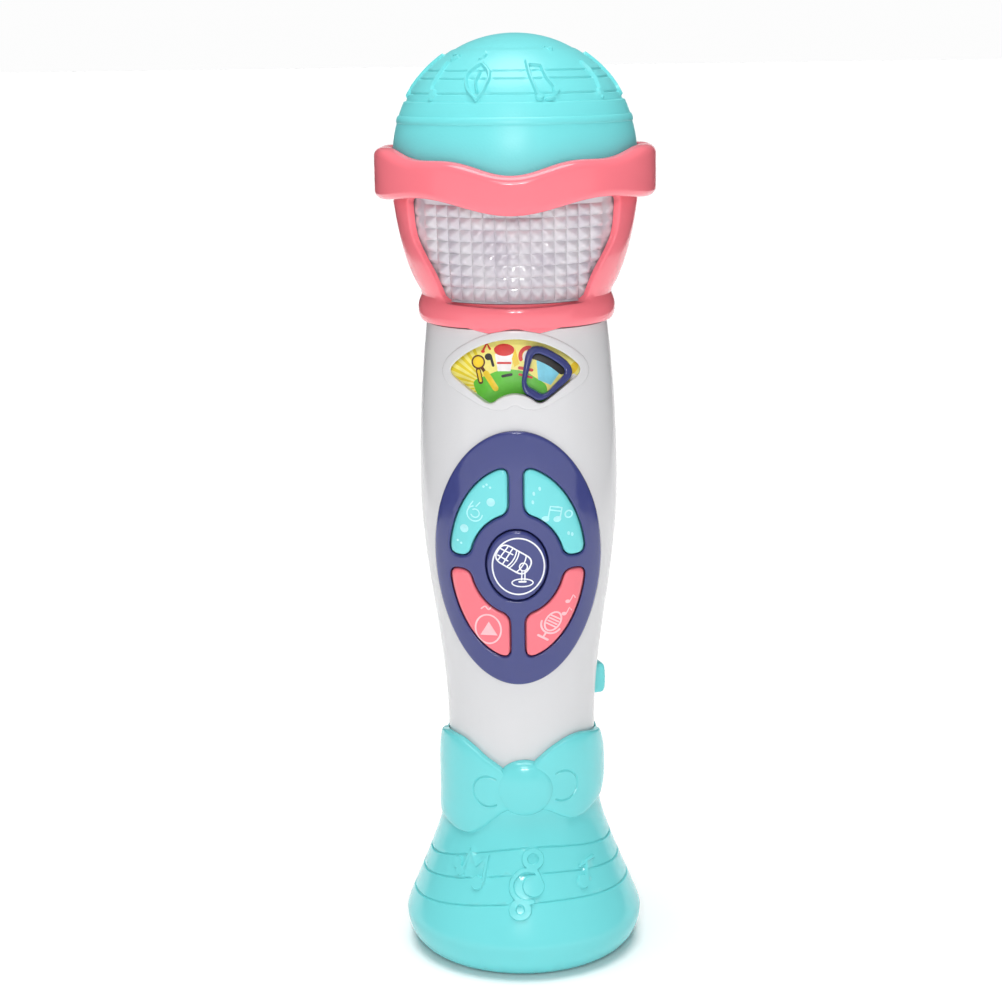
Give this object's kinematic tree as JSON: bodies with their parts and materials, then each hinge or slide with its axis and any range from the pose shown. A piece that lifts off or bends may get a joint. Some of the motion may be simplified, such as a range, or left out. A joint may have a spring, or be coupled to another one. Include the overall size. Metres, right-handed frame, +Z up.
{
  "type": "toy microphone",
  "caption": "Standing toy microphone with a lit head, a waisted two-shell handle, sprung buttons, a swinging picture selector and a flared foot with a bow.",
  "frame": {"origin": "middle of the foot's rim, on the surface the toy stands on", "axes": "+Z up through the handle to the dome; -Y is the front, where the buttons are; +X is on the right of someone facing the front"},
  "size_m": [0.0724, 0.0724, 0.245],
  "materials": {
    "turquoise_plastic": "glossy moulded plastic",
    "pink_plastic": "glossy moulded plastic",
    "indigo_plastic": "satin moulded plastic",
    "white_plastic": "glossy moulded plastic",
    "clear_shade": "clear prismatic plastic",
    "reflector_white": "satin",
    "picture_print": "printed card",
    "circuit_board": "solder mask",
    "chip_black": "moulded epoxy",
    "lamp_resin": "water clear resin",
    "silicone": "soft translucent",
    "steel": "zinc plated",
    "brass": "sprung contact strip",
    "cell_can": "wrapped cell",
    "magnet": "plated",
    "speaker_frame": "black",
    "speaker_paper": "pressed paper",
    "wire_skin": "wire insulation",
    "ivory_plastic": "acetal"
  },
  "bodies": {
    "handle": {"dome_cap": "turquoise_plastic", "visor_band": "pink_plastic", "head_frame": "pink_plastic", "light_shade": "clear_shade", "head_deck": "reflector_white", "head_deck_screws": "steel", "led_board": "circuit_board", "led_board_screws": "steel", "led_lamps": "lamp_resin", "head_screws": "steel", "front_shell": "white_plastic", "rear_shell": "white_plastic", "shell_screws": "steel", "control_panel": "indigo_plastic", "button_mat": "silicone", "main_board": "circuit_board", "board_chips": "chip_black", "board_screws": "steel", "picture_card": "picture_print", "picture_plate": "white_plastic", "mode_board": "circuit_board", "pivot_screw": "steel", "battery_cells": "cell_can", "battery_springs": "steel", "battery_plates": "steel", "slide_switch": "steel", "switch_board": "circuit_board", "switch_screws": "steel", "foot_shell": "turquoise_plastic", "foot_screws": "steel", "base_plate": "turquoise_plastic", "base_screws": "steel", "speaker_basket": "speaker_frame", "speaker_cone": "speaker_paper", "speaker_magnet": "magnet", "head_wires": "wire_skin", "speaker_wires": "wire_skin", "battery_wires": "wire_skin"},
    "centre_key": {"centre_button": "indigo_plastic"},
    "upper_left_key": {"upper_left_button": "turquoise_plastic"},
    "upper_right_key": {"upper_right_button": "turquoise_plastic"},
    "lower_left_key": {"lower_left_button": "pink_plastic"},
    "lower_right_key": {"lower_right_button": "pink_plastic"},
    "picture_selector": {"selector_frame": "indigo_plastic", "selector_wiper": "brass"},
    "power_slider": {"switch_knob": "turquoise_plastic", "switch_lever": "ivory_plastic"},
    "door": {"battery_door": "white_plastic", "battery_door_screw": "steel"}
  },
  "joints": [
    {"name": "centre_press", "type": "slide", "parent": "handle", "child": "centre_key", "axis": [0, 1, 0], "range_m": [0, 0.0012], "stiffness_N_per_m": 600, "deforming": ["button_mat"]},
    {"name": "upper_left_press", "type": "slide", "parent": "handle", "child": "upper_left_key", "axis": [0, 1, 0], "range_m": [0, 0.0012], "stiffness_N_per_m": 600, "deforming": ["button_mat"]},
    {"name": "upper_right_press", "type": "slide", "parent": "handle", "child": "upper_right_key", "axis": [0, 1, 0], "range_m": [0, 0.0012], "stiffness_N_per_m": 600, "deforming": ["button_mat"]},
    {"name": "lower_left_press", "type": "slide", "parent": "handle", "child": "lower_left_key", "axis": [0, 1, 0], "range_m": [0, 0.0012], "stiffness_N_per_m": 600, "deforming": ["button_mat"]},
    {"name": "lower_right_press", "type": "slide", "parent": "handle", "child": "lower_right_key", "axis": [0, 1, 0], "range_m": [0, 0.0012], "stiffness_N_per_m": 600, "deforming": ["button_mat"]},
    {"name": "selector_swing", "type": "hinge", "parent": "handle", "child": "picture_selector", "pos_m": [0, -0.0215, 0.1485], "axis": [0, -1, 0], "range_deg": [0, 61.6]},
    {"name": "power_slide", "type": "slide", "parent": "handle", "child": "power_slider", "axis": [0, 0, 1], "range_m": [0, 0.004]},
    {"name": "door_lift", "type": "slide", "parent": "handle", "child": "door", "axis": [0, 1, 0], "range_m": [0, 0.02]}
  ]
}
